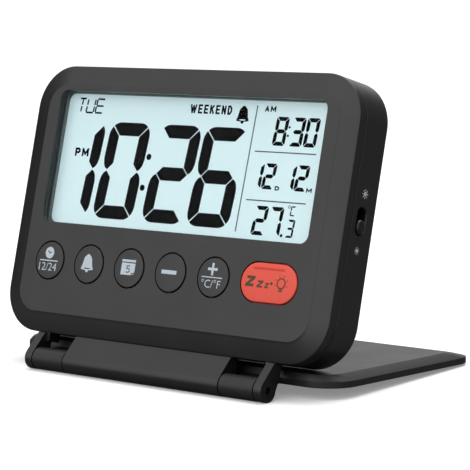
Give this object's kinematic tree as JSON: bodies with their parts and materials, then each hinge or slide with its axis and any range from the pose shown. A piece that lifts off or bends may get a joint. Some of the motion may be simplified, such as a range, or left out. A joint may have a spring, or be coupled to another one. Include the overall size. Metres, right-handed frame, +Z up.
{
  "type": "alarm clock",
  "caption": "Folding travel alarm clock: a thin rounded body with a wide display and a row of push buttons leans on a flat hinged stand that folds round to cover the face.",
  "frame": {"origin": "middle of the footprint, on the surface that the clock stands on", "axes": "+X along the width to the right as seen from the front, the display faces -Y, +Z up"},
  "size_m": [0.1369, 0.0897, 0.0986],
  "materials": {
    "case_abs": "fine matte, spark-eroded texture",
    "button_abs": "satin with printed marks",
    "snooze_red": "satin",
    "slider_black": "satin",
    "stand_soft_touch": "fine matte",
    "lens": "clear, glossy",
    "lcd": "glossy film, lit from behind",
    "holder_grey": "matte",
    "light_guide": "milky",
    "led_white": "clear encapsulant",
    "board": "solder resist",
    "ribbon": "polyimide film",
    "chip_black": "moulded epoxy",
    "screw_steel": "zinc plated",
    "contact_nickel": "nickel plated",
    "cell_wrap": "printed film sleeve",
    "washer_nylon": "natural nylon",
    "foot_rubber": "matte",
    "inner_abs": "moulded"
  },
  "bodies": {
    "clock_body": {"front_bezel": "case_abs", "rear_shell": "case_abs", "window_lens": "lens", "display_holder": "holder_grey", "lcd_glass": "lcd", "backlight_panel": "light_guide", "backlight_leds": "led_white", "display_ribbon": "ribbon", "main_board": "board", "control_chip": "chip_black", "crystal_can": "contact_nickel", "temperature_sensor": "chip_black", "buzzer": "chip_black", "dome_switches": "contact_nickel", "slide_switch": "contact_nickel", "board_screws": "screw_steel", "battery_tray": "inner_abs", "battery_springs": "contact_nickel", "battery_contacts": "contact_nickel", "battery_upper": "cell_wrap", "battery_lower": "cell_wrap", "case_screws": "screw_steel", "hinge_arm_left": "case_abs", "hinge_arm_right": "case_abs", "hinge_block": "case_abs", "hinge_screws": "screw_steel", "hinge_pins": "screw_steel", "hinge_washers": "washer_nylon"},
    "stand": {"stand_base": "stand_soft_touch", "stand_cover": "stand_soft_touch", "stand_screws": "screw_steel", "stand_feet": "foot_rubber"},
    "door": {"battery_door": "case_abs"},
    "slider": {"brightness_slider": "slider_black"},
    "time_key": {"time_button": "button_abs"},
    "alarm_key": {"alarm_button": "button_abs"},
    "calendar_key": {"calendar_button": "button_abs"},
    "minus_key": {"minus_button": "button_abs"},
    "plus_key": {"plus_button": "button_abs"},
    "snooze_key": {"snooze_button": "snooze_red"}
  },
  "joints": [
    {"name": "stand_hinge", "type": "hinge", "parent": "clock_body", "child": "stand", "pos_m": [0, -0.04115, 0.0037], "axis": [-1, 0, 0], "range_deg": [0, 282.5]},
    {"name": "battery_door_hinge", "type": "hinge", "parent": "clock_body", "child": "door", "pos_m": [0, -0.01925, 0.01925], "axis": [-1, 0, 0], "range_deg": [0, 95]},
    {"name": "brightness_slide", "type": "slide", "parent": "clock_body", "child": "slider", "axis": [0, 0.274, 0.9617], "range_m": [0, 0.0036]},
    {"name": "time_press", "type": "slide", "parent": "clock_body", "child": "time_key", "axis": [0, 0.9617, -0.274], "range_m": [0, 0.0005], "stiffness_N_per_m": 600, "springref_m": -0.0001},
    {"name": "alarm_press", "type": "slide", "parent": "clock_body", "child": "alarm_key", "axis": [0, 0.9617, -0.274], "range_m": [0, 0.0005], "stiffness_N_per_m": 600, "springref_m": -0.0001},
    {"name": "calendar_press", "type": "slide", "parent": "clock_body", "child": "calendar_key", "axis": [0, 0.9617, -0.274], "range_m": [0, 0.0005], "stiffness_N_per_m": 600, "springref_m": -0.0001},
    {"name": "minus_press", "type": "slide", "parent": "clock_body", "child": "minus_key", "axis": [0, 0.9617, -0.274], "range_m": [0, 0.0005], "stiffness_N_per_m": 600, "springref_m": -0.0001},
    {"name": "plus_press", "type": "slide", "parent": "clock_body", "child": "plus_key", "axis": [0, 0.9617, -0.274], "range_m": [0, 0.0005], "stiffness_N_per_m": 600, "springref_m": -0.0001},
    {"name": "snooze_press", "type": "slide", "parent": "clock_body", "child": "snooze_key", "axis": [0, 0.9617, -0.274], "range_m": [0, 0.0005], "stiffness_N_per_m": 600, "springref_m": -0.0001}
  ]
}
